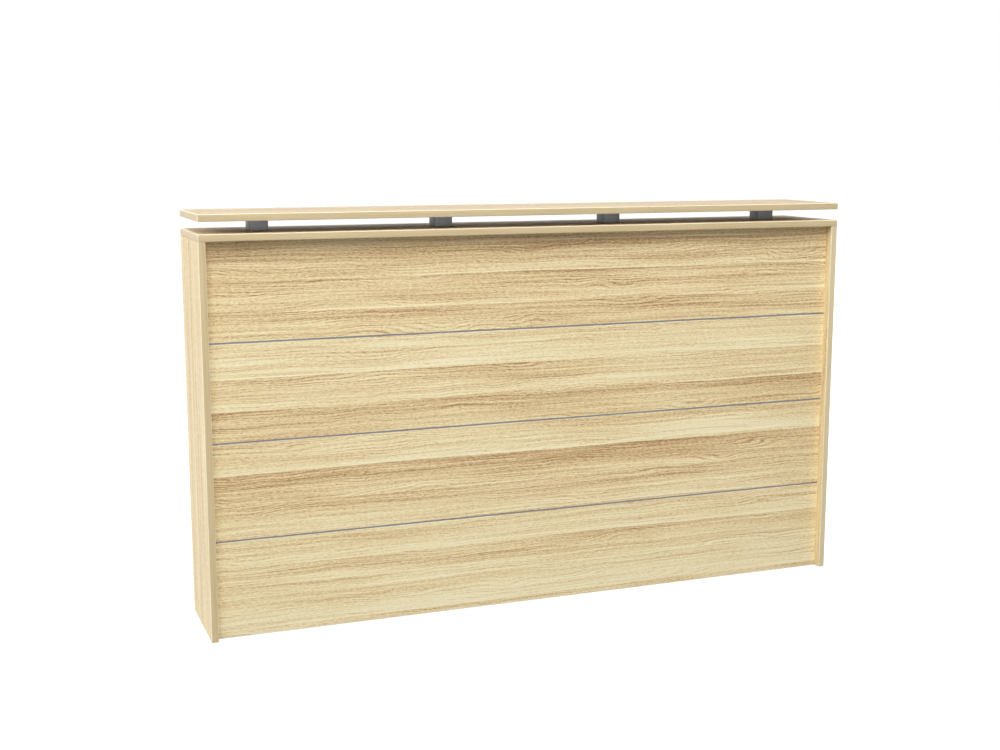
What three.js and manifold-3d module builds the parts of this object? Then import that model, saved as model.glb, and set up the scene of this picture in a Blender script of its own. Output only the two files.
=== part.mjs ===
// A free-standing reception counter in woodgrain board: two end panels, a front of four boards keyed
// together by metal strips, a counter cap, and a transaction shelf raised over the cap on spacer blocks.
// Millimetres, +Z up. Visitors stand on the -Y side, staff on the +Y side.
// The origin is on the floor, under the middle of the counter.
import * as THREE from 'three';
import { mergeVertices } from 'three/addons/utils/BufferGeometryUtils.js';
import Module from 'manifold-3d';

// Overall sizes
const overallWidth = 1800;
const overallDepth = 280;
const counterHeight = 1023;
const shelfGap = 30;
const boardThickness = 18;

// Fits
const seam = 0.2;
const glueLine = 0.1;
const boreClearance = 0.2;
const runningClearance = 0.1;
const roundSegments = 24;
const pinSegments = 12;

// Edge bands
const bandThickness = 2;
const arrisRadius = 1.6;
const cornerRadius = 2;
const arcSegments = 4;

// Front boards and accent strips
const frontRecess = 24;
const frontBoardCount = 4;
const frontArris = 0.6;
const stripHeight = 4;
const stripRecess = 0.8;
const tongueThickness = 3;
const tongueLength = 7;
const tongueClearance = 0.3;

// Spacer blocks and their screws
const spacerCount = 4;
const spacerWidth = 48;
const spacerArris = 1;
const spacerSetback = 110;
const spacerEndInset = 169;
const screwDiameter = 6;
const screwPoint = 3;
const screwCover = 6;
const screwHeadDiameter = 13;
const screwHeadHeight = 3.5;

// Staff side
const baseBoardHeight = 63;
const staffShelfHeight = 534;
const staffShelfSetback = 10;
const staffShelfClearance = 1;

// Shelf supports and the rows of holes for them
const supportWidth = 10;
const supportHeight = 14;
const supportReach = 9;
const supportTip = 2.5;
const supportHeel = 2.5;
const supportPinDiameter = 5;
const supportPinDrop = 7;
const supportInset = 37;
const pinHoleWeb = 2;
const pinHolePitch = 32;
const pinHolesEachWay = 2;

// Levelling feet
const footDiameter = 17;
const footHeight = 3;
const footChamfer = 0.8;
const footInset = 40;
const footTravel = 12;
const stemDiameter = 6;
const stemGrip = 13;
const stemChamfer = 0.8;
const insertWall = 1.9;
const insertLength = 15;

// Levels and depths that follow from those sizes
const halfWidth = overallWidth / 2;
const frontEdge = -overallDepth / 2;
const backEdge = overallDepth / 2;
const panelBottom = footHeight + seam;
const capBottom = counterHeight - boardThickness;
const panelTop = capBottom - seam;
const panelHeight = panelTop - panelBottom;
const panelMiddle = (panelTop + panelBottom) / 2;
const shelfBottom = counterHeight + shelfGap;
const innerHalfWidth = halfWidth - boardThickness;
const frontBoardFace = frontEdge + frontRecess;
const bayFront = frontBoardFace + boardThickness + seam;
const bayDepth = backEdge - bayFront;
const bayWidth = innerHalfWidth - boardThickness / 2;
const bayCentre = (innerHalfWidth + boardThickness / 2) / 2;

// Directions
const right = new THREE.Vector3(1, 0, 0);
const left = new THREE.Vector3(-1, 0, 0);
const forward = new THREE.Vector3(0, -1, 0);
const back = new THREE.Vector3(0, 1, 0);
const up = new THREE.Vector3(0, 0, 1);

// Finishes
const finishes = {
  oakFront: { color: '#d6c096', roughness: 0.5, metalness: 0 },
  oakEnd: { color: '#ecdbb6', roughness: 0.5, metalness: 0 },
  oakTop: { color: '#e5d5b3', roughness: 0.45, metalness: 0 },
  oakBand: { color: '#d0bf98', roughness: 0.5, metalness: 0 },
  greyMetal: { color: '#909194', roughness: 0.4, metalness: 0.9 },
  greyBlock: { color: '#6a6a6c', roughness: 0.5, metalness: 0 },
  zinc: { color: '#b9bbbd', roughness: 0.35, metalness: 1 },
  blackPlastic: { color: '#2b2b2d', roughness: 0.6, metalness: 0 },
};

const counter = new THREE.Group();

function add(name, geometry, finish, x, y, z) {
  const mesh = new THREE.Mesh(geometry, new THREE.MeshStandardMaterial(finishes[finish]));
  mesh.name = name;
  mesh.position.set(x, y, z);
  counter.add(mesh);
}

// Joining and cutting solids
const wasm = await Module();
wasm.setup();

function toSolid(geometry) {
  const plain = geometry.clone();
  plain.deleteAttribute('normal');
  plain.deleteAttribute('uv');
  const merged = mergeVertices(plain);
  return new wasm.Manifold(new wasm.Mesh({
    numProp: 3,
    vertProperties: new Float32Array(merged.attributes.position.array),
    triVerts: new Uint32Array(merged.index.array),
  }));
}

function toGeometry(solid) {
  const mesh = solid.getMesh();
  const geometry = new THREE.BufferGeometry();
  geometry.setAttribute('position', new THREE.BufferAttribute(mesh.vertProperties, 3));
  geometry.setIndex(new THREE.BufferAttribute(mesh.triVerts, 1));
  geometry.computeVertexNormals();
  return geometry;
}

// The bores are placed in the counter's frame, and the piece is centred on x, y, z
function bored(geometry, bores, x, y, z) {
  let solid = toSolid(geometry);
  for (const bore of bores) {
    solid = solid.subtract(toSolid(bore.translate(-x, -y, -z)));
  }
  return toGeometry(solid);
}

// Shapes that several pieces share
function upRod(diameter, length, x, y, bottom) {
  const rod = new THREE.CylinderGeometry(diameter / 2, diameter / 2, length, roundSegments);
  return rod.rotateX(Math.PI / 2).translate(x, y, bottom + length / 2);
}

function sideRod(diameter, length, start, y, z) {
  const rod = new THREE.CylinderGeometry(diameter / 2, diameter / 2, length, pinSegments);
  return rod.rotateZ(Math.PI / 2).translate(start + length / 2, y, z);
}

// A turned piece from half its outline, as distances from the axis and heights
function turned(outline) {
  const points = outline.map(([radius, height]) => new THREE.Vector2(radius, height));
  return new THREE.LatheGeometry(points, roundSegments).rotateX(Math.PI / 2);
}

// A section drawn in the directions u and v, and extruded square to both, half each way
function extruded(section, length, u, v) {
  const settings = { depth: length, bevelEnabled: false, curveSegments: arcSegments };
  const geometry = new THREE.ExtrudeGeometry(section, settings).translate(0, 0, -length / 2);
  const along = new THREE.Vector3().crossVectors(u, v);
  return geometry.applyMatrix4(new THREE.Matrix4().makeBasis(u, v, along));
}

function polygon(points) {
  return new THREE.Shape(points.map(([u, v]) => new THREE.Vector2(u, v)));
}

// An edge band's section: flat on the board's edge, with both outer arrises rounded
function bandSection() {
  const half = boardThickness / 2;
  const radius = Math.min(arrisRadius, bandThickness);
  const arcCentre = bandThickness - radius;
  const section = new THREE.Shape();
  section.moveTo(0, -half);
  section.absarc(arcCentre, radius - half, radius, -Math.PI / 2, 0);
  section.absarc(arcCentre, half - radius, radius, 0, Math.PI / 2);
  section.lineTo(0, half);
  return section;
}

const coreInset = bandThickness + glueLine;
const coreDepth = overallDepth - 2 * coreInset;

// Levelling feet, screwed into inserts in the bottom edges of the upright panels
const stemLength = footTravel + stemGrip;

const footOutline = [
  [0, 0],
  [footDiameter / 2 - footChamfer, 0],
  [footDiameter / 2, footChamfer],
  [footDiameter / 2, footHeight],
  [stemDiameter / 2, footHeight],
  [stemDiameter / 2, footHeight + stemLength - stemChamfer],
  [stemDiameter / 2 - stemChamfer, footHeight + stemLength],
  [0, footHeight + stemLength],
];

const insertBore = stemDiameter / 2 + runningClearance;
const insertRadius = insertBore + insertWall;

const insertOutline = [
  [insertBore, 0],
  [insertRadius, 0],
  [insertRadius, insertLength],
  [insertBore, insertLength],
  [insertBore, 0],
];

function footPlaces(panelFront) {
  return { front: panelFront + footInset, back: backEdge - footInset };
}

function footBores(panelX, panelFront) {
  const depth = Math.max(stemLength, insertLength) + boreClearance;
  const diameter = 2 * (insertRadius + boreClearance);
  const places = Object.values(footPlaces(panelFront));
  return places.map((y) => upRod(diameter, 2 * depth, panelX, y, panelBottom - depth));
}

function addFeet(panel, panelX, panelFront) {
  for (const [row, y] of Object.entries(footPlaces(panelFront))) {
    add(`${panel}_${row}_foot`, turned(footOutline), 'blackPlastic', panelX, y, 0);
    add(`${panel}_${row}_insert`, turned(insertOutline), 'zinc', panelX, y, panelBottom);
  }
}

// Shelf supports: a gusset under the shelf, with a pin in one of the holes bored for it
const staffShelfWidth = bayWidth - 2 * staffShelfClearance;
const staffShelfFront = bayFront + staffShelfClearance;
const staffShelfBack = backEdge - staffShelfSetback;
const staffShelfDepth = staffShelfBack - staffShelfFront;
const supportTop = staffShelfHeight - seam;
const supportRows = [staffShelfFront + supportInset, staffShelfBack - supportInset];
const pinHoleDepth = (boardThickness - pinHoleWeb) / 2;

function pinHoles(faceX) {
  const diameter = supportPinDiameter + 2 * boreClearance;
  const holes = [];
  for (const y of supportRows) {
    for (let step = -pinHolesEachWay; step <= pinHolesEachWay; step += 1) {
      const z = supportTop - supportPinDrop + step * pinHolePitch;
      holes.push(sideRod(diameter, 2 * pinHoleDepth, faceX - pinHoleDepth, y, z));
    }
  }
  return holes;
}

const gussetSection = polygon([
  [0, 0],
  [0, -supportHeight],
  [supportHeel, -supportHeight],
  [supportReach, -supportTip],
  [supportReach, 0],
]);

function supportGeometry(reach) {
  const gusset = extruded(gussetSection, supportWidth, reach, up);
  const pinLength = pinHoleDepth - boreClearance;
  const pin = sideRod(supportPinDiameter, 2 * pinLength, -pinLength, 0, -supportPinDrop);
  const pinSide = new THREE.BoxGeometry(2 * pinLength, supportWidth, 2 * supportHeight);
  pinSide.translate(-reach.x * (pinLength - supportHeel / 2), 0, 0);
  return toGeometry(toSolid(pin).intersect(toSolid(pinSide)).add(toSolid(gusset)));
}

function addSupports(panel, faceX, reach) {
  supportRows.forEach((y, row) => {
    const name = `${panel}_shelf_support_${row + 1}`;
    add(name, supportGeometry(reach), 'zinc', faceX + reach.x * seam, y, supportTop);
  });
}

// End panels, banded front and back
function addEndPanel(name, outward) {
  const x = outward.x * (halfWidth - boardThickness / 2);
  const innerFace = outward.x * innerHalfWidth;
  const core = new THREE.BoxGeometry(boardThickness, coreDepth, panelHeight);
  const bores = [...footBores(x, frontEdge), ...pinHoles(innerFace)];
  add(`${name}_end_panel`, bored(core, bores, x, 0, panelMiddle), 'oakEnd', x, 0, panelMiddle);
  const frontBand = extruded(bandSection(), panelHeight, forward, right);
  const backBand = extruded(bandSection(), panelHeight, back, left);
  add(`${name}_end_front_band`, frontBand, 'oakBand', x, frontEdge + bandThickness, panelMiddle);
  add(`${name}_end_back_band`, backBand, 'oakBand', x, backEdge - bandThickness, panelMiddle);
  addFeet(`${name}_end`, x, frontEdge);
  addSupports(`${name}_end`, innerFace, outward.clone().negate());
}

addEndPanel('left', left);
addEndPanel('right', right);

// Centre upright, behind the front boards
function addCentreUpright() {
  const y = bayFront + bayDepth / 2;
  const face = boardThickness / 2;
  const board = new THREE.BoxGeometry(boardThickness, bayDepth, panelHeight);
  const bores = [...footBores(0, bayFront), ...pinHoles(-face), ...pinHoles(face)];
  add('centre_upright', bored(board, bores, 0, y, panelMiddle), 'oakEnd', 0, y, panelMiddle);
  addFeet('centre', 0, bayFront);
  addSupports('centre_left', -face, left);
  addSupports('centre_right', face, right);
}

addCentreUpright();

// Base boards and staff shelves, one in each bay
function addBay(name, side) {
  const x = side.x * bayCentre;
  const half = boardThickness / 2;
  const baseBoard = new THREE.BoxGeometry(bayWidth - 2 * seam, bayDepth, boardThickness);
  add(`${name}_base_board`, baseBoard, 'oakEnd', x, bayFront + bayDepth / 2, baseBoardHeight + half);
  const shelf = new THREE.BoxGeometry(staffShelfWidth, staffShelfDepth, boardThickness);
  const shelfY = (staffShelfFront + staffShelfBack) / 2;
  add(`${name}_staff_shelf`, shelf, 'oakEnd', x, shelfY, staffShelfHeight + half);
}

addBay('left', left);
addBay('right', right);

// Front boards and the accent strips that key them together
const frontLength = 2 * (innerHalfWidth - seam);
const frontPitch = panelHeight / frontBoardCount;
const tongueMiddle = boardThickness / 2;
const grooveFront = tongueMiddle - tongueThickness / 2 - tongueClearance;
const grooveBack = tongueMiddle + tongueThickness / 2 + tongueClearance;
const grooveDepth = tongueLength + tongueClearance;

// The section runs from the visitors' face at 0 to the staff face at boardThickness
function frontBoardSection(height, keyedBelow, keyedAbove) {
  const points = [[frontArris, 0]];
  if (keyedBelow) {
    const roof = grooveDepth;
    points.push([grooveFront, 0], [grooveFront, roof], [grooveBack, roof], [grooveBack, 0]);
  }
  points.push([boardThickness, 0], [boardThickness, height]);
  if (keyedAbove) {
    const floor = height - grooveDepth;
    points.push([grooveBack, height], [grooveBack, floor], [grooveFront, floor], [grooveFront, height]);
  }
  points.push([frontArris, height], [0, height - frontArris], [0, frontArris]);
  return polygon(points);
}

for (let index = 0; index < frontBoardCount; index += 1) {
  const keyedBelow = index > 0;
  const keyedAbove = index < frontBoardCount - 1;
  const strip = stripHeight / 2 + seam;
  const bottom = panelBottom + index * frontPitch + (keyedBelow ? strip : 0);
  const top = panelBottom + (index + 1) * frontPitch - (keyedAbove ? strip : 0);
  const section = frontBoardSection(top - bottom, keyedBelow, keyedAbove);
  const board = extruded(section, frontLength, back, up);
  add(`front_board_${index + 1}`, board, 'oakFront', 0, frontBoardFace, bottom);
}

// A strip's section: a web between two boards, and a tongue into each
function stripSection() {
  const web = stripHeight / 2;
  const tip = web + tongueLength;
  const tongueFront = tongueMiddle - tongueThickness / 2;
  const tongueBack = tongueMiddle + tongueThickness / 2;
  return polygon([
    [stripRecess, -web],
    [tongueFront, -web],
    [tongueFront, -tip],
    [tongueBack, -tip],
    [tongueBack, -web],
    [boardThickness, -web],
    [boardThickness, web],
    [tongueBack, web],
    [tongueBack, tip],
    [tongueFront, tip],
    [tongueFront, web],
    [stripRecess, web],
  ]);
}

for (let index = 1; index < frontBoardCount; index += 1) {
  const strip = extruded(stripSection(), frontLength, back, up);
  add(`accent_strip_${index}`, strip, 'greyMetal', 0, frontBoardFace, panelBottom + index * frontPitch);
}

// Spacer blocks, and the screws that run up through the cap and the blocks into the transaction shelf
const spacerPitch = (overallWidth - 2 * spacerEndInset) / (spacerCount - 1);
const spacerY = frontEdge + spacerSetback + spacerWidth / 2;
const spacerHeight = shelfGap - 2 * seam;
const screwHole = screwDiameter + 2 * boreClearance;
const screwTop = shelfBottom + boardThickness - screwCover;
const screwLength = screwTop - capBottom;
const spacerPlaces = Array.from({ length: spacerCount }, (_, index) => {
  return spacerEndInset - halfWidth + index * spacerPitch;
});

function screwBores(bottom, top) {
  return spacerPlaces.map((x) => upRod(screwHole, top - bottom, x, spacerY, bottom));
}

function spacerSection() {
  const half = spacerWidth / 2;
  const flat = half - spacerArris;
  return polygon([
    [-flat, -half],
    [flat, -half],
    [half, -flat],
    [half, flat],
    [flat, half],
    [-flat, half],
    [-half, flat],
    [-half, -flat],
  ]);
}

const screwOutline = [
  [0, -seam - screwHeadHeight],
  [screwHeadDiameter / 4, -seam - screwHeadHeight],
  [screwHeadDiameter / 2, -seam - screwHeadHeight / 2],
  [screwHeadDiameter / 2, -seam],
  [screwDiameter / 2, -seam],
  [screwDiameter / 2, screwLength - screwPoint],
  [0, screwLength],
];

spacerPlaces.forEach((x, index) => {
  const z = counterHeight + shelfGap / 2;
  const block = extruded(spacerSection(), spacerHeight, right, back);
  const hole = upRod(screwHole, 2 * spacerHeight, x, spacerY, z - spacerHeight);
  add(`spacer_block_${index + 1}`, bored(block, [hole], x, spacerY, z), 'greyBlock', x, spacerY, z);
  add(`spacer_screw_${index + 1}`, turned(screwOutline), 'zinc', x, spacerY, capBottom);
});

// The two tops, banded all round, with the corners of the bands rounded
function planSection() {
  const x = halfWidth - cornerRadius;
  const y = overallDepth / 2 - cornerRadius;
  const section = new THREE.Shape();
  section.absarc(x, -y, cornerRadius, -Math.PI / 2, 0);
  section.absarc(x, y, cornerRadius, 0, Math.PI / 2);
  section.absarc(-x, y, cornerRadius, Math.PI / 2, Math.PI);
  section.absarc(-x, -y, cornerRadius, Math.PI, 1.5 * Math.PI);
  return section;
}

function addTop(name, panel, bottom, bores) {
  const z = bottom + boardThickness / 2;
  const coreWidth = overallWidth - 2 * coreInset;
  const core = new THREE.BoxGeometry(coreWidth, coreDepth, boardThickness);
  add(panel, bored(core, bores, 0, 0, z), 'oakTop', 0, 0, z);
  const bands = [
    ['front', forward, overallWidth, overallDepth / 2],
    ['back', back, overallWidth, overallDepth / 2],
    ['left', left, coreDepth, halfWidth],
    ['right', right, coreDepth, halfWidth],
  ];
  const plan = toSolid(extruded(planSection(), 2 * boardThickness, right, back));
  for (const [side, outward, length, reach] of bands) {
    const place = outward.clone().multiplyScalar(reach - bandThickness);
    const straight = extruded(bandSection(), length, outward, up).translate(place.x, place.y, 0);
    const trimmed = toGeometry(toSolid(straight).intersect(plan));
    add(`${name}_${side}_band`, trimmed, 'oakBand', 0, 0, z);
  }
}

addTop('cap', 'counter_cap', capBottom, screwBores(capBottom - seam, counterHeight + seam));
addTop('shelf', 'transaction_shelf', shelfBottom, screwBores(shelfBottom - seam, screwTop + boreClearance));

export default counter;
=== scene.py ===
# %% [markdown]
# A free-standing reception counter in oak-look board: two end panels, four long front boards with
# slim metal strips between them, a counter cap, and a transaction shelf held up on dark blocks.
# The frame comes first. It holds every piece at its true place, in metres, so nothing is fitted by eye.

# %% Load the frame
import math

import bmesh
import bpy
from mathutils import Matrix, Vector


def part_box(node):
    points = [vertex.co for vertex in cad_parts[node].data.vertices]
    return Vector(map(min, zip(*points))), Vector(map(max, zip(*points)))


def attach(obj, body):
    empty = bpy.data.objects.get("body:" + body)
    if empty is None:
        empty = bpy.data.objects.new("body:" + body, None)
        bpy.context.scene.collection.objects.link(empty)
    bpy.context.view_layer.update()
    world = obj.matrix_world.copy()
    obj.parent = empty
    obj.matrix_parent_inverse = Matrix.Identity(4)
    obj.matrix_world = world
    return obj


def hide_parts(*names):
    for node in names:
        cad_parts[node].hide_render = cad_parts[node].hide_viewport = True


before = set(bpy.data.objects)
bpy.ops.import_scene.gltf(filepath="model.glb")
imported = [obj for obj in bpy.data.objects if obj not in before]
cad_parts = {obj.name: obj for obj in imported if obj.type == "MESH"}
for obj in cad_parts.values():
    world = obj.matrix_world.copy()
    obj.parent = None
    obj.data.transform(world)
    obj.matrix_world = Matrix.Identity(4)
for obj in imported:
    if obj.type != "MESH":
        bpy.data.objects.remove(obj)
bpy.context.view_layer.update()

MM = 0.001
scene = bpy.context.scene

# %% [markdown]
# The camera could be placed by trial, but a photograph of straight boards gives it away: the corners of
# the counter fix where the lens stood. It stood low and to the left, a little above the shelf, with
# a lens of about 50 mm, so the shelf is seen almost edge on and the left end as a thin sliver.

# %% Camera
CAMERA_PLACE = (-1.42896, -3.51753, 1.23917)
CAMERA_YAW = math.radians(-21.074)
CAMERA_PITCH = math.radians(-9.432)
LENS = 50.317

lens = bpy.data.cameras.new("camera")
lens.lens = LENS
lens.sensor_width = 36.0
lens.clip_end = 200.0
camera = bpy.data.objects.new("camera", lens)
camera.location = CAMERA_PLACE
camera.rotation_euler = (math.pi / 2 + CAMERA_PITCH, 0.0, CAMERA_YAW)
scene.collection.objects.link(camera)
scene.camera = camera
scene.view_settings.view_transform = "Standard"
print("camera:", round(camera.location.length, 2), "m from the middle of the floor")

# %% [markdown]
# Colours are given as sRGB hex values, and Blender's sockets want linear light, so one function
# turns the first into the second. One more adds a shader node: a setting goes on the node, a number on
# its socket, and another node, or one of its sockets, is linked. Every material below is built with it.

# %% Colour and nodes
def linear(hex_colour):
    """An sRGB hex colour as linear red, green, blue and a full alpha."""
    parts = [int(hex_colour[i:i + 2], 16) / 255 for i in (1, 3, 5)]
    return tuple(c / 12.92 if c <= 0.04045 else ((c + 0.055) / 1.055) ** 2.4 for c in parts) + (1.0,)


def add(tree, kind, inputs=None, **settings):
    """Adds one node, sets it up and links it."""
    made = tree.nodes.new("ShaderNode" + kind)
    for name, value in settings.items():
        setattr(made, name, value)
    for socket, value in (inputs or {}).items():
        if isinstance(value, bpy.types.Node):
            value = value.outputs[0]
        if isinstance(value, bpy.types.NodeSocket):
            tree.links.new(value, made.inputs[socket])
        else:
            made.inputs[socket].default_value = value
    return made


def new_material(name):
    """An empty node material and the output that its shader goes to."""
    material = bpy.data.materials.new(name)
    material.use_nodes = True
    material.node_tree.nodes.clear()
    return material, material.node_tree, add(material.node_tree, "OutputMaterial")


print("cream oak in linear light:", [round(c, 3) for c in linear("#E4D4AD")])

# %% [markdown]
# The light is a plain soft studio. A dim even world fills the shade, a large soft box stands high at the
# front left, so that the cap shades the front below it, and another on the left makes the end panel the
# brightest side. A low strip in front reaches in under the shelf. All stand far off, so that the front is
# evenly lit. The world is brighter low at the back, for the staff side, which no lamp reaches. To the
# camera, and in reflections, it is plain white.

# %% Studio light
WORLD_LEVEL = 0.20
WORLD_BACK = 2.6
SOFT_BOXES = (
    ("front_box", (-0.26, -0.54, 0.80), 9.0, (7.6, 7.6), 1055.0),
    ("low_box", (-0.10, -0.99, 0.05), 9.0, (8.0, 1.6), 66.0),
    ("left_box", (-0.90, 0.0, 0.42), 8.0, (3.0, 3.0), 260.0),
    ("right_box", (0.90, -0.12, 0.42), 8.0, (3.0, 3.0), 180.0),
)


def seen_directly(tree):
    """One for rays from the camera or from a reflection, which find white, and nought for other light."""
    rays = add(tree, "LightPath")
    mirror = rays.outputs["Is Glossy Ray"], rays.outputs["Is Transmission Ray"]
    seen = add(tree, "Math", {0: rays.outputs["Is Camera Ray"], 1: mirror[0]}, operation="MAXIMUM")
    return add(tree, "Math", {0: seen, 1: mirror[1]}, operation="MAXIMUM")


world = bpy.data.worlds.new("studio")
world.use_nodes = True
scene.world = world
tree = world.node_tree
tree.nodes.clear()
way = add(tree, "SeparateXYZ", {0: add(tree, "TexCoord").outputs["Generated"]})
behind = add(tree, "Math", {0: way.outputs["Y"], 1: way.outputs["Z"]}, operation="SUBTRACT")
behind = add(tree, "Math", {0: behind, 1: 0.0}, operation="MAXIMUM")
level = add(tree, "Math", {0: behind, 1: WORLD_BACK, 2: WORLD_LEVEL}, operation="MULTIPLY_ADD")
dome = add(tree, "Background", {"Color": (1.0, 1.0, 1.0, 1.0), "Strength": level})
white = add(tree, "Background", {"Color": (1.0, 1.0, 1.0, 1.0), "Strength": 1.0})
both = add(tree, "MixShader", {0: seen_directly(tree), 1: dome, 2: white})
add(tree, "OutputWorld", {"Surface": both})

LIT_MIDDLE = Vector((0.0, 0.0, 0.6))
for name, toward, distance, size, power in SOFT_BOXES:
    lamp = bpy.data.lights.new(name, "AREA")
    lamp.shape = "RECTANGLE"
    lamp.size, lamp.size_y = size
    lamp.energy = power
    holder = bpy.data.objects.new(name, lamp)
    direction = Vector(toward).normalized()
    holder.location = LIT_MIDDLE + direction * distance
    holder.rotation_euler = direction.to_track_quat("Z", "Y").to_euler()
    scene.collection.objects.link(holder)
print("light: world at", WORLD_LEVEL, "and", len(SOFT_BOXES), "soft boxes")

# %% [markdown]
# The floor is a plain pale sheet. To the camera it is white and keeps a faint contact shadow; to the light
# that bounces it is a dark grey, because the real counter shows little light from below under its cap. Seen
# from beneath it is clear, so the feet can be looked at.

# %% Floor
FLOOR_REACH = 40.0
FLOOR_GLOW = 0.90

floor_paint, tree, output = new_material("matt_pale_floor")
glow = add(tree, "Emission", {"Color": (1.0, 1.0, 1.0, 1.0), "Strength": FLOOR_GLOW})
sheet = add(tree, "BsdfDiffuse", {"Color": linear("#B0B0B0")})
pale = add(tree, "AddShader", {0: glow, 1: sheet})
dull = add(tree, "BsdfDiffuse", {"Color": linear("#484746")})
top_side = add(tree, "MixShader", {0: seen_directly(tree), 1: dull, 2: pale})
clear = add(tree, "BsdfTransparent")
beneath = add(tree, "NewGeometry").outputs["Backfacing"]
both = add(tree, "MixShader", {0: beneath, 1: top_side, 2: clear})
tree.links.new(both.outputs[0], output.inputs["Surface"])

floor_mesh = bpy.data.meshes.new("floor")
corners = [(x * FLOOR_REACH, y * FLOOR_REACH, 0) for x, y in ((-1, -1), (1, -1), (1, 1), (-1, 1))]
floor_mesh.from_pydata(corners, [], [(0, 1, 2, 3)])
floor_mesh.materials.append(floor_paint)
floor = bpy.data.objects.new("floor", floor_mesh)
scene.collection.objects.link(floor)
print("floor:", 2 * FLOOR_REACH, "m square")

# %% [markdown]
# The boards are chipboard faced with oak-look melamine: a printed paper pressed under a clear resin skin,
# satin to the eye. The print shows long planed staves, about 80 mm high on the front, and each one runs from
# tan at one edge to cream at the other, with wavy year rings, fine fibres and short pores along it. An image
# could give that, but worked out from noise it has no repeats and turns with each board. Every distance is
# a real one. The same print comes in a few mixtures: the shelf's is the dullest, painted darker and greyer
# as painted shade that holds back the strong light on its top.

# %% Oak decor
STAVE = 80.6 * MM
BORDER_SWAY = 5.0 * MM
WAVE_HEIGHT = 3.0 * MM
RING_SPACING = 6.0 * MM
RING_SWAY = 24.0 * MM
FLAME_HEIGHT = 7.0 * MM
LINE_SPACING = 5.0 * MM
LINE_LENGTH = 420.0 * MM
PORE_SPACING = 2.0 * MM
PORE_LENGTH = 9.0 * MM
CLOUD_WEIGHT = 1.5
RING_WEIGHT = 0.45
FIBRE_WEIGHT = 3.1
PORE_WEIGHT = 3.8
SAP_WEIGHT = 0.75

OAK = ("#FCF2CD", "#F4E3B4", "#E7CF9D", "#D6B586", "#A58055")
END_OAK = ("#F7EBC5", "#ECDAAB", "#DFC696", "#CFAE81", "#A17E55")
# The shelf's mixture is painted darker and greyer than the others: painted shade against the strong light on
# its top.
SHELF_OAK_PAINTED_DARKER = ("#D0C3AA", "#C3B394", "#B7A485", "#A99172", "#8A7052")


def stretched(tree, grain, length, width, **noise):
    """Noise that runs along the grain: about length long and width wide."""
    scale = (1 / length, 1 / width, 1 / width)
    scaled = add(tree, "VectorMath", {0: grain, 1: scale}, operation="MULTIPLY")
    made = add(tree, "TexNoise", {"Vector": scaled, "Scale": 1.0, **noise})
    return add(tree, "Math", {0: made.outputs["Fac"], 1: 0.5}, operation="SUBTRACT")


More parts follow.
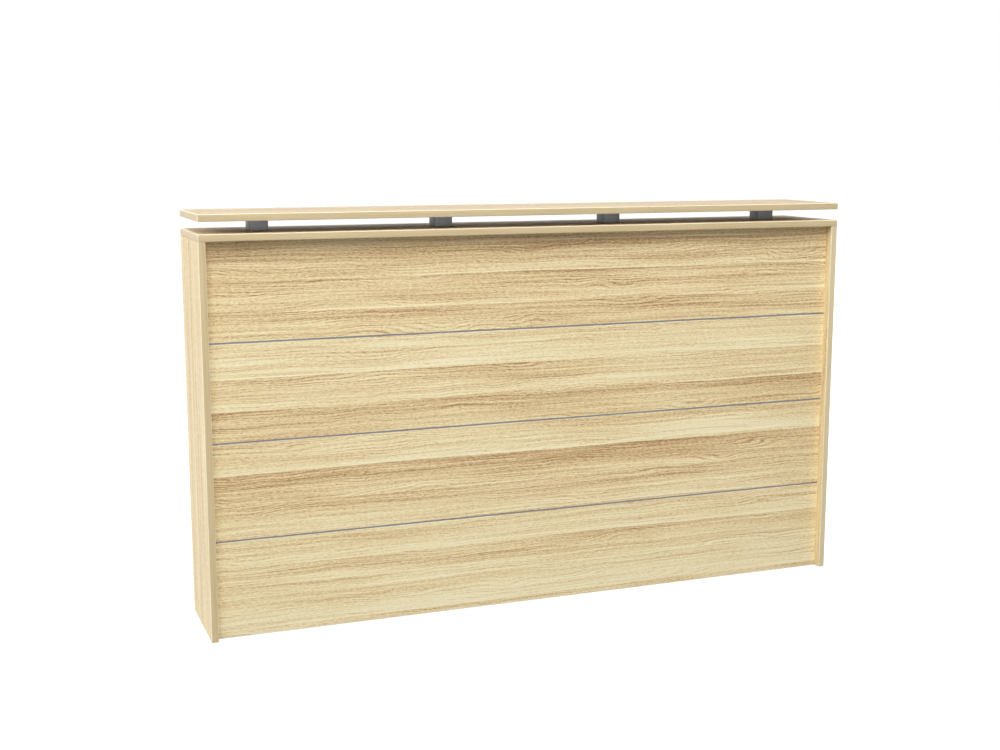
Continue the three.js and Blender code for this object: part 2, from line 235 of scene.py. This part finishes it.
def oak_melamine(name, along, across, border, tones, colours=OAK, slope=0.62, contrast=1.0,
                 rough=(0.46, 0.58), shine=0.5):
    """Oak-look melamine with its grain along one axis and its staves stacked along another."""
    material, tree, output = new_material(name)
    place = add(tree, "SeparateXYZ", {0: add(tree, "TexCoord").outputs["Object"]})
    through = 3 - along - across
    grain = add(tree, "CombineXYZ", {
        0: place.outputs[along], 1: place.outputs[across], 2: place.outputs[through]})

    # Staves: their borders wander a little, and each has a tone from the list given, which on the front also
    # holds painted shade, and a place in the log of its own.
    sway = stretched(tree, grain, 420 * MM, 90 * MM, Detail=2.0)
    height = place.outputs[across]
    height = add(tree, "Math", {0: sway, 1: 2 * BORDER_SWAY, 2: height}, operation="MULTIPLY_ADD")
    height = add(tree, "Math", {0: height, 1: border}, operation="SUBTRACT")
    stave = add(tree, "Math", {0: height, 1: STAVE}, operation="DIVIDE")
    number = add(tree, "Math", {0: stave}, operation="FLOOR")
    share = add(tree, "Math", {0: stave, 1: number}, operation="SUBTRACT")
    turn = add(tree, "Math", {0: number, 1: len(tones)}, operation="FLOORED_MODULO")
    turn = add(tree, "Math", {0: turn, 1: 0.5}, operation="ADD")
    turn = add(tree, "Math", {0: turn, 1: len(tones)}, operation="DIVIDE")
    order = add(tree, "ValToRGB", {0: turn})
    order.color_ramp.interpolation = "CONSTANT"
    for i, tone in enumerate(tones):
        stop = order.color_ramp.elements[0] if i == 0 else order.color_ramp.elements.new(i / len(tones))
        stop.color = (tone, tone, tone, 1.0)
    order.color_ramp.elements.remove(order.color_ramp.elements[-1])
    shift = add(tree, "Math", {0: number, 1: 3.71}, operation="MULTIPLY")

    # The fibres of a stave run in shallow waves, and part round the flames of the year rings.
    far = add(tree, "Math", {0: shift, 1: place.outputs[along]}, operation="ADD")
    plank = add(tree, "CombineXYZ", {0: far, 1: height, 2: place.outputs[through]})
    bend = stretched(tree, plank, 260 * MM, 60 * MM, Detail=1.0)
    wave = stretched(tree, grain, 110 * MM, 30 * MM, Detail=3.0)
    wavy = add(tree, "Math", {0: wave, 1: 2 * WAVE_HEIGHT, 2: height}, operation="MULTIPLY_ADD")
    wavy = add(tree, "Math", {0: bend, 1: 2 * FLAME_HEIGHT, 2: wavy}, operation="MULTIPLY_ADD")
    slip = stretched(tree, grain, 50 * MM, 5 * MM, Detail=1.0)
    far = add(tree, "Math", {0: slip, 1: 60 * MM, 2: far}, operation="MULTIPLY_ADD")
    log = add(tree, "CombineXYZ", {0: far, 1: wavy, 2: place.outputs[through]})

    # Tone: the stave's listed tone, tan at its upper border and cream at its lower one, clouded along its
    # length.
    tone = add(tree, "Math", {0: share, 1: 0.5}, operation="SUBTRACT")
    tone = add(tree, "Math", {0: tone, 1: slope, 2: order}, operation="MULTIPLY_ADD")
    cloud = stretched(tree, log, 520 * MM, 22 * MM, Detail=2.0)
    tone = add(tree, "Math", {0: cloud, 1: CLOUD_WEIGHT * contrast, 2: tone}, operation="MULTIPLY_ADD")

    # Year rings: lines across the stave that a broad noise bends into flames and eyes.
    ring = add(tree, "Math", {0: bend, 1: 2 * RING_SWAY, 2: wavy}, operation="MULTIPLY_ADD")
    ring = add(tree, "Math", {0: ring, 1: 2 * math.pi / RING_SPACING}, operation="MULTIPLY")
    ring = add(tree, "Math", {0: ring}, operation="SINE")
    ring = add(tree, "MapRange", {0: ring, 1: -0.3, 2: 1.0, 3: -0.6, 4: 1.0})
    shown = stretched(tree, log, 300 * MM, 60 * MM, Detail=1.0)
    shown = add(tree, "MapRange", {0: shown, 1: -0.08, 2: 0.16, 3: 0.1, 4: 1.0})
    ring = add(tree, "Math", {0: ring, 1: shown}, operation="MULTIPLY")
    tone = add(tree, "Math", {0: ring, 1: RING_WEIGHT * contrast, 2: tone}, operation="MULTIPLY_ADD")

    # Long fibre lines and short pores, drawn a little coarser than real ones so that they show.
    fibre = stretched(tree, log, LINE_LENGTH, LINE_SPACING, Detail=3.0, Roughness=0.65)
    tone = add(tree, "Math", {0: fibre, 1: FIBRE_WEIGHT * contrast, 2: tone}, operation="MULTIPLY_ADD")
    pore = stretched(tree, log, PORE_LENGTH, PORE_SPACING, Detail=2.0, Roughness=0.6)
    tone = add(tree, "Math", {0: pore, 1: PORE_WEIGHT * contrast, 2: tone}, operation="MULTIPLY_ADD")

    # Here and there a pale line of sapwood runs along a stave's lower border.
    sap = add(tree, "MapRange", {0: share, 1: 0.02, 2: 0.055, 3: 1.0, 4: 0.0})
    kept = stretched(tree, log, 700 * MM, 400 * MM, Detail=0.0)
    kept = add(tree, "MapRange", {0: kept, 1: -0.04, 2: 0.08, 3: 0.0, 4: -SAP_WEIGHT * contrast})
    tone = add(tree, "Math", {0: sap, 1: kept, 2: tone}, operation="MULTIPLY_ADD")

    paint = add(tree, "ValToRGB", {0: add(tree, "MapRange", {0: tone, 1: -0.5, 2: 1.5})})
    ramp = paint.color_ramp.elements
    ramp[0].color, ramp[1].color = linear(colours[0]), linear(colours[-1])
    for i in (1, 2, 3):
        ramp.new(i / 4).color = linear(colours[i])

    # The pressed skin follows the pores a few hundredths of a millimetre deep, which dulls its gloss.
    relief = add(tree, "Math", {0: fibre, 1: pore}, operation="SUBTRACT")
    bump = add(tree, "Bump", {"Height": relief, "Strength": 0.35, "Distance": 0.06 * MM})
    gloss = add(tree, "MapRange", {0: pore, 1: -0.2, 2: 0.2, 3: rough[0], 4: rough[1]})
    skin = add(tree, "BsdfPrincipled", {
        "Base Color": paint.outputs[0], "Roughness": gloss, "Normal": bump, "IOR": 1.5,
        "Specular IOR Level": shine})
    tree.links.new(skin.outputs[0], output.inputs["Surface"])
    return material


# The front staves' tones are their print with painted light on top: the upper staves, under the cap, are
# painted darker as painted shade, and the lowest ones paler where less light reaches near the floor.
FRONT_TONES_AND_SHADE = (0.02, 0.32, 0.18, 0.34, 0.72, 0.10, 0.62, 0.34, 0.10, 0.56, 0.53, 0.70, 0.84, 0.02)
PLAIN_TONES = (0.35, 0.22, 0.45, 0.30, 0.40)
X, Y, Z = 0, 1, 2
front_oak = oak_melamine("oak_melamine_front", X, Z, 19.2 * MM, FRONT_TONES_AND_SHADE)
top_oak = oak_melamine("oak_melamine_tops", X, Y, 8 * MM, PLAIN_TONES, SHELF_OAK_PAINTED_DARKER, 0.3, 0.8,
                       (0.55, 0.65), 0.2)
inner_oak = oak_melamine("oak_melamine_inner_boards", X, Y, 8 * MM, PLAIN_TONES, END_OAK, 0.3, 0.8)
end_oak = oak_melamine("oak_melamine_uprights", Z, Y, 22 * MM, PLAIN_TONES, END_OAK, 0.35, 0.95)


def coat(name, material):
    """Gives a node of the frame its finish."""
    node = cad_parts[name]
    node.data.materials.clear()
    node.data.materials.append(material)


for i in (1, 2, 3, 4):
    coat("front_board_%d" % i, front_oak)
for name in ("left_end_panel", "right_end_panel", "centre_upright"):
    coat(name, end_oak)
coat("transaction_shelf", top_oak)
coat("counter_cap", inner_oak)
print("oak:", front_oak.name, top_oak.name, inner_oak.name, end_oak.name)

# %% [markdown]
# The exposed edges are closed with a 2 mm edge band of ABS, printed with the same oak as fine straight lines
# and milled round at its corners. The frame's bands have few facets, so each is made again from its own
# box: the long corners of its outer side are bevelled in six steps and shaded smooth.

# %% Edge bands
BAND_RADIUS = 1.9 * MM
# The paler colour of the bands' rounded corners: a painted highlight, also standing for the whiter milled
# cut.
MILLED_AND_HIGHLIGHT = "#FAF1D6"
BAND_TONES = {
    "left": ("#D8C59B", "#C6AF83"),
    "even": ("#D8C69D", "#C8B287"),
    "right": ("#E3D3AE", "#D6C299"),
}


def oak_abs(name, along, tones):
    """Extruded ABS printed with fine oak lines along its length: even in colour but for a painted highlight
    on its rounded corners, with a soft sheen.
    """
    material, tree, output = new_material(name)
    place = add(tree, "SeparateXYZ", {0: add(tree, "TexCoord").outputs["Object"]})
    grain = add(tree, "CombineXYZ", {
        0: place.outputs[along], 1: place.outputs[(along + 1) % 3], 2: place.outputs[(along + 2) % 3]})
    lines = stretched(tree, grain, 260 * MM, 4.0 * MM, Detail=3.0, Roughness=0.6)
    cloud = stretched(tree, grain, 180 * MM, 40 * MM, Detail=1.0)
    tone = add(tree, "Math", {0: cloud, 1: 0.2, 2: lines}, operation="MULTIPLY_ADD")
    tone = add(tree, "MapRange", {0: tone, 1: -0.25, 2: 0.25})
    light, dark = linear(tones[0]), linear(tones[1])
    colour = add(tree, "Mix", {"Factor": tone, "A": dark, "B": light}, data_type="RGBA")

    # The rounded corners are painted paler: a painted highlight along them, which also stands for the whiter
    # cut the cutter leaves. There no part of the normal is near one.
    facing = add(tree, "SeparateXYZ", {0: add(tree, "NewGeometry").outputs["Normal"]})
    square = 0.0
    for part in facing.outputs:
        length = add(tree, "Math", {0: part}, operation="ABSOLUTE")
        square = add(tree, "Math", {0: length, 1: square}, operation="MAXIMUM")
    corner_highlight = add(tree, "MapRange", {0: square, 1: 0.98, 2: 0.86, 3: 0.0, 4: 0.95})
    colour = add(tree, "Mix", {
        "Factor": corner_highlight, "A": colour.outputs["Result"], "B": linear(MILLED_AND_HIGHLIGHT)}, data_type="RGBA")
    bump = add(tree, "Bump", {"Height": lines, "Strength": 0.2, "Distance": 0.05 * MM})
    skin = add(tree, "BsdfPrincipled", {
        "Base Color": colour.outputs["Result"], "Roughness": 0.42, "IOR": 1.53, "Normal": bump})
    tree.links.new(skin.outputs[0], output.inputs["Surface"])
    return material


def finish_piece(name, shape, material, body, replaced=(), smooth=30):
    """Turns a bmesh into a piece that rides on a body, smooth apart from its sharp edges."""
    mesh = bpy.data.meshes.new(name)
    bmesh.ops.recalc_face_normals(shape, faces=shape.faces)
    shape.to_mesh(mesh)
    shape.free()
    mesh.shade_smooth()
    mesh.set_sharp_from_angle(angle=math.radians(smooth))
    mesh.materials.append(material)
    piece = bpy.data.objects.new(name, mesh)
    scene.collection.objects.link(piece)
    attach(piece, body)
    if replaced:
        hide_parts(*replaced)
    return piece


def block_between(low, high):
    """A bmesh box between two corners."""
    shape = bmesh.new()
    size, middle = Vector(high) - Vector(low), (Vector(high) + Vector(low)) / 2
    stretch = Matrix.Translation(middle) @ Matrix.Diagonal((*size, 1.0))
    bmesh.ops.create_cube(shape, size=1.0, matrix=stretch)
    return shape


def edges_on(shape, axis, level, along=None):
    """The box's edges at one level of an axis: all of them, or only those along another axis."""
    found = []
    for edge in shape.edges:
        ends = [v.co for v in edge.verts]
        if all(abs(p[axis] - level) < 1e-5 for p in ends):
            if along is None or abs(ends[0][along] - ends[1][along]) > 1e-5:
                found.append(edge)
    return found


band_abs = {
    X: oak_abs("oak_print_abs_lengthwise", X, BAND_TONES["even"]),
    Y: oak_abs("oak_print_abs_across", Y, BAND_TONES["even"]),
    "left": oak_abs("oak_print_abs_left_end", Z, BAND_TONES["left"]),
    "right": oak_abs("oak_print_abs_right_end", Z, BAND_TONES["right"]),
}
BANDS = []
for end in ("left", "right"):
    BANDS += [(end + "_end_" + side + "_band", Y, Z, side) for side in ("front", "back")]
for board in ("cap", "shelf"):
    BANDS += [(board + "_" + side + "_band", Y, X, side) for side in ("front", "back")]
    BANDS += [(board + "_" + side + "_band", X, Y, side) for side in ("left", "right")]

for node, outward, along, side in BANDS:
    low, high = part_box(node)
    shape = block_between(low, high)
    level = (low if side in ("front", "left") else high)[outward]
    all_round = outward == Y and along == X
    rounded = edges_on(shape, outward, level, None if all_round else along)
    bmesh.ops.bevel(shape, geom=rounded, offset=BAND_RADIUS, segments=6, profile=0.5, affect="EDGES")
    print_abs = band_abs[node.split("_")[0] if along == Z else along]
    finish_piece(node.replace("_band", "_edging"), shape, print_abs, "counter", [node])
print("edge bands:", len(BANDS))

# %% [markdown]
# Slim strips of anodised aluminium lie in the grooves between the front boards. Extruding and brushing
# leave fine lines along them, and the anodic film keeps the shine soft and slightly blue. A clean metal
# would turn white here, so the film takes part of the shine: the shader is metal to six tenths.

# %% Metal strips
strip_metal, tree, output = new_material("brushed_anodised_aluminium")
place = add(tree, "TexCoord").outputs["Object"]
scratch = stretched(tree, place, 120 * MM, 0.9 * MM, Detail=3.0)
gloss = add(tree, "MapRange", {0: scratch, 1: -0.2, 2: 0.2, 3: 0.40, 4: 0.52})
tone = add(tree, "MapRange", {0: scratch, 1: -0.3, 2: 0.3})
tint = add(tree, "Mix", {
    "Factor": tone, "A": linear("#6A6C72"), "B": linear("#8A8C92")}, data_type="RGBA")
bump = add(tree, "Bump", {"Height": scratch, "Strength": 0.2, "Distance": 0.02 * MM})
skin = add(tree, "BsdfPrincipled", {
    "Base Color": tint.outputs["Result"], "Metallic": 0.6, "Roughness": gloss, "Normal": bump})
tree.links.new(skin.outputs[0], output.inputs["Surface"])
for i in (1, 2, 3):
    coat("accent_strip_%d" % i, strip_metal)
print("strips: 3 in", strip_metal.name)

# %% [markdown]
# Four moulded blocks hold the shelf above the cap. They are ABS with the fine even grain of a spark-eroded
# mould, sprayed with a satin metallic grey lacquer that takes its tone from the room, so it is dull in this
# shaded gap. Their corners are rounded by a millimetre so that the tool lets go of them.

# %% Spacer blocks
BLOCK_RADIUS = 1.2 * MM

block_abs, tree, output = new_material("metallic_lacquer_on_abs")
place = add(tree, "TexCoord").outputs["Object"]
grit = add(tree, "TexNoise", {"Vector": place, "Scale": 1 / (0.8 * MM), "Detail": 2.0})
tint = add(tree, "Mix", {
    "Factor": grit.outputs["Fac"], "A": linear("#7D7F83"), "B": linear("#898B8F")}, data_type="RGBA")
bump = add(tree, "Bump", {"Height": grit.outputs["Fac"], "Strength": 0.3, "Distance": 0.05 * MM})
skin = add(tree, "BsdfPrincipled", {
    "Base Color": tint.outputs["Result"], "Metallic": 0.7, "Roughness": 0.42, "Normal": bump})
tree.links.new(skin.outputs[0], output.inputs["Surface"])
for i in (1, 2, 3, 4):
    node = "spacer_block_%d" % i
    low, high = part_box(node)
    shape = block_between(low, high)
    upright = [e for e in shape.edges if abs(e.verts[0].co.z - e.verts[1].co.z) > 1e-4]
    bmesh.ops.bevel(shape, geom=upright, offset=BLOCK_RADIUS, segments=5, profile=0.5, affect="EDGES")
    finish_piece("moulded_block_%d" % i, shape, block_abs, "counter", [node])
print("spacer blocks: 4")

# %% [markdown]
# Underneath and behind are the small fittings: shelf supports, screws and inserts of zinc-plated steel, and
# levelling feet of black nylon. Zinc is a bluish grey metal with a faint cloudy bloom from the bath. Nylon
# from the mould is dull and faintly grained.

# %% Zinc and nylon
zinc, tree, output = new_material("zinc_plated_steel")
place = add(tree, "TexCoord").outputs["Object"]
bloom = add(tree, "TexNoise", {"Vector": place, "Scale": 1 / (6 * MM), "Detail": 3.0})
tint = add(tree, "Mix", {
    "Factor": bloom.outputs["Fac"], "A": linear("#A9ADB3"), "B": linear("#CFD2D4")}, data_type="RGBA")
gloss = add(tree, "MapRange", {0: bloom.outputs["Fac"], 1: 0.3, 2: 0.7, 3: 0.26, 4: 0.42})
skin = add(tree, "BsdfPrincipled", {
    "Base Color": tint.outputs["Result"], "Metallic": 1.0, "Roughness": gloss})
tree.links.new(skin.outputs[0], output.inputs["Surface"])

nylon, tree, output = new_material("moulded_black_nylon")
place = add(tree, "TexCoord").outputs["Object"]
grit = add(tree, "TexNoise", {"Vector": place, "Scale": 1 / (0.6 * MM), "Detail": 2.0})
tint = add(tree, "Mix", {
    "Factor": grit.outputs["Fac"], "A": linear("#1E1E1F"), "B": linear("#2B2B2D")}, data_type="RGBA")
bump = add(tree, "Bump", {"Height": grit.outputs["Fac"], "Strength": 0.3, "Distance": 0.04 * MM})
skin = add(tree, "BsdfPrincipled", {
    "Base Color": tint.outputs["Result"], "Roughness": 0.48, "IOR": 1.53, "Normal": bump})
tree.links.new(skin.outputs[0], output.inputs["Surface"])

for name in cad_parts:
    if name.endswith("_insert") or "_shelf_support_" in name or name.startswith("spacer_screw"):
        coat(name, zinc)
print("fittings in", zinc.name, "and", nylon.name)

# %% [markdown]
# The base boards and the staff shelves are cut square, and their thin edging is trimmed by hand, which takes
# the arris off by half a millimetre. A modifier would do on a clean box, but the frame's faces are not
# joined, so each board is made again from its box with every edge bevelled. What shows is the thin line of
# light along it.

# %% Inner boards
ARRIS = 0.5 * MM

for side in ("left", "right"):
    for board in ("base_board", "staff_shelf"):
        node = side + "_" + board
        shape = block_between(*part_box(node))
        edges = shape.edges[:]
        bmesh.ops.bevel(shape, geom=edges, offset=ARRIS, segments=3, profile=0.5, affect="EDGES")
        finish_piece(node + "_eased", shape, inner_oak, "counter", [node])
print("inner boards: 4, eased by", ARRIS / MM, "mm")

# %% [markdown]
# The levelling feet are made as turned shapes: a nylon disc with a fluted rim, moulded round the head of a
# threaded steel stem that screws into the insert. Both are shapes from a lathe, so one function turns a
# profile of radii and heights round an axis, and a second rule may change the radius with the angle. For the
# rim it gives the flutes, and for the stem a true screw line, one millimetre of rise in each turn.

# %% Levelling feet
FLUTES = 16
FLUTE_DEPTH = 0.4 * MM
FLAT_RADIUS = 7.5 * MM
THREAD_RISE = 1.0 * MM
THREAD_DEPTH = 0.55 * MM
FOOT_HEIGHT = 3.0 * MM
STEM_RADIUS = 3.0 * MM


def turned(profile, steps, radius_at=None, shape=None, material=0):
    """A closed shape turned from (radius, height) points; radius_at may change a radius by angle."""
    shape = shape or bmesh.new()
    rings = []
    for radius, height in profile:
        ring = []
        for k in range(steps if radius else 1):
            angle = 2 * math.pi * k / steps
            reach = radius_at(radius, height, angle) if radius_at and radius else radius
            ring.append(shape.verts.new((reach * math.cos(angle), reach * math.sin(angle), height)))
        rings.append(ring)
    for lower, upper in zip(rings, rings[1:]):
        for k in range(steps):
            j = (k + 1) % steps
            corners = [lower[k % len(lower)], lower[j % len(lower)]]
            corners += [upper[j % len(upper)], upper[k % len(upper)]]
            shape.faces.new(list(dict.fromkeys(corners))).material_index = material
    return shape


def fluted(radius, height, angle):
    """The rim of a foot: outside the flat of the disc, shallow flutes."""
    depth = FLUTE_DEPTH if radius > FLAT_RADIUS else 0.0
    return radius - depth * (0.5 + 0.5 * math.cos(FLUTES * angle))


def threaded(radius, height, angle):
    """A stem: the radius falls and rises along a line that climbs round it."""
    turn = (height / THREAD_RISE - angle / (2 * math.pi)) % 1.0
    return radius - THREAD_DEPTH * abs(2 * turn - 1)


RIM = (
    (0.0, 0.0), (7.0, 0.0), (7.8, 0.25), (8.3, 0.6), (8.5, 1.0),
    (8.5, 2.1), (8.2, 2.6), (7.6, 2.9), (7.0, 3.0), (0.0, 3.0),
)
feet = [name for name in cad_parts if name.endswith("_foot")]
for node in feet:
    low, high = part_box(node)
    shape = turned([(r * MM, z * MM) for r, z in RIM], 6 * FLUTES, fluted)
    count = round((high[2] - FOOT_HEIGHT) / THREAD_RISE * 4)
    rises = [FOOT_HEIGHT - 0.5 * MM + k * THREAD_RISE / 4 for k in range(count)]
    stem = [(0.0, rises[0])] + [(STEM_RADIUS, z) for z in rises]
    stem += [(STEM_RADIUS - 0.7 * MM, high[2]), (0.0, high[2])]
    turned(stem, 24, threaded, shape, 1)
    middle = ((low[0] + high[0]) / 2, (low[1] + high[1]) / 2, 0.0)
    bmesh.ops.translate(shape, verts=shape.verts, vec=middle)
    piece = finish_piece(node + "_moulded", shape, nylon, node, [node], smooth=35)
    piece.data.materials.append(zinc)
print("levelling feet:", len(feet))

# %% [markdown]
# A pan-head screw comes up through the cap and a block into the shelf. Its head, seen only from the staff
# side, has a cross recess for the driver. A cutter could make that, but so can the lathe: the innermost
# rings are drawn out into a cross.

# %% Spacer screws
CROSS_REACH = 3.2 * MM
CROSS_WIDTH = 0.24


def crossed(radius, height, angle):
    """The recess: rings up to the reach of the cross take its outline."""
    if radius > CROSS_REACH:
        return radius
    c, s = max(abs(math.cos(angle)), 1e-6), max(abs(math.sin(angle)), 1e-6)
    return radius * max(min(1 / c, CROSS_WIDTH / s), min(1 / s, CROSS_WIDTH / c))


SHANK_RADIUS = 2.4
HEAD = (
    (0.0, 1.9), (2.0, 1.9), (3.2, 0.15), (4.0, 0.2), (5.2, 0.5),
    (6.1, 1.1), (6.5, 2.0), (6.5, 3.5), (SHANK_RADIUS, 3.5),
)
for i in (1, 2, 3, 4):
    node = "spacer_screw_%d" % i
    low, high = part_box(node)
    length = high[2] - low[2]
    profile = [(r * MM, z * MM) for r, z in HEAD]
    profile += [(SHANK_RADIUS * MM, length - 4 * MM), (0.0, length)]
    shape = turned(profile, 96, crossed)
    middle = ((low[0] + high[0]) / 2, (low[1] + high[1]) / 2, low[2])
    bmesh.ops.translate(shape, verts=shape.verts, vec=middle)
    finish_piece("pan_head_screw_%d" % i, shape, zinc, "counter", [node])
print("spacer screws: 4")

# %% [markdown]
# Boards like these are pulled together by hidden cam fittings, and on the staff side each one is closed with
# a small domed cap pressed into the bore. The caps are moulded polypropylene in a colour near the board's,
# a bit yellower and glossier than the print, so they show only as faint discs.

# %% Cover caps
CAM_INSET = 34.0 * MM
CAM_ROWS = (-70.0 * MM, 70.0 * MM)
BASE_ROWS = (-30.0 * MM, 90.0 * MM)
CAP_PROFILE = ((0.0, 0.0), (8.2, 0.0), (8.5, 0.3), (8.1, 0.7), (6.5, 0.95), (3.5, 1.08), (0.0, 1.1))

cover, tree, output = new_material("moulded_beige_polypropylene")
place = add(tree, "TexCoord").outputs["Object"]
grit = add(tree, "TexNoise", {"Vector": place, "Scale": 1 / (1.5 * MM), "Detail": 2.0})
tint = add(tree, "Mix", {
    "Factor": grit.outputs["Fac"], "A": linear("#D9C496"), "B": linear("#DFCCA2")}, data_type="RGBA")
bump = add(tree, "Bump", {"Height": grit.outputs["Fac"], "Strength": 0.2, "Distance": 0.03 * MM})
skin = add(tree, "BsdfPrincipled", {
    "Base Color": tint.outputs["Result"], "Roughness": 0.36, "IOR": 1.49, "Normal": bump})
tree.links.new(skin.outputs[0], output.inputs["Surface"])

caps = []
board_middles = [sum(corner[2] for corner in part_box("front_board_%d" % i)) / 2 for i in (1, 2, 3, 4)]
front_low, front_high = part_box("front_board_1")
upright_low, upright_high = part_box("centre_upright")
for z in board_middles:
    for x in (front_low[0] + CAM_INSET, front_high[0] - CAM_INSET):
        caps.append(((x, front_high[1], z), (0, 1, 0)))
    caps.append(((upright_high[0], upright_low[1] + CAM_INSET, z), (1, 0, 0)))
for node, facing in (("left_end_panel", 1), ("centre_upright", 1), ("right_end_panel", -1)):
    low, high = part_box(node)
    for y in CAM_ROWS:
        caps.append((((high if facing > 0 else low)[0], y, high[2] - CAM_INSET), (facing, 0, 0)))
for node in ("left_base_board", "right_base_board"):
    low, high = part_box(node)
    for x in (low[0] + CAM_INSET, high[0] - CAM_INSET):
        for y in BASE_ROWS:
            caps.append(((x, y, low[2]), (0, 0, -1)))
for i, (spot, facing) in enumerate(caps):
    shape = turned([(r * MM, z * MM) for r, z in CAP_PROFILE], 40)
    turn = Vector(facing).to_track_quat("Z", "Y").to_matrix().to_4x4()
    bmesh.ops.transform(shape, verts=shape.verts, matrix=Matrix.Translation(spot) @ turn)
    finish_piece("cover_cap_%02d" % (i + 1), shape, cover, "counter")
print("cover caps:", len(caps))
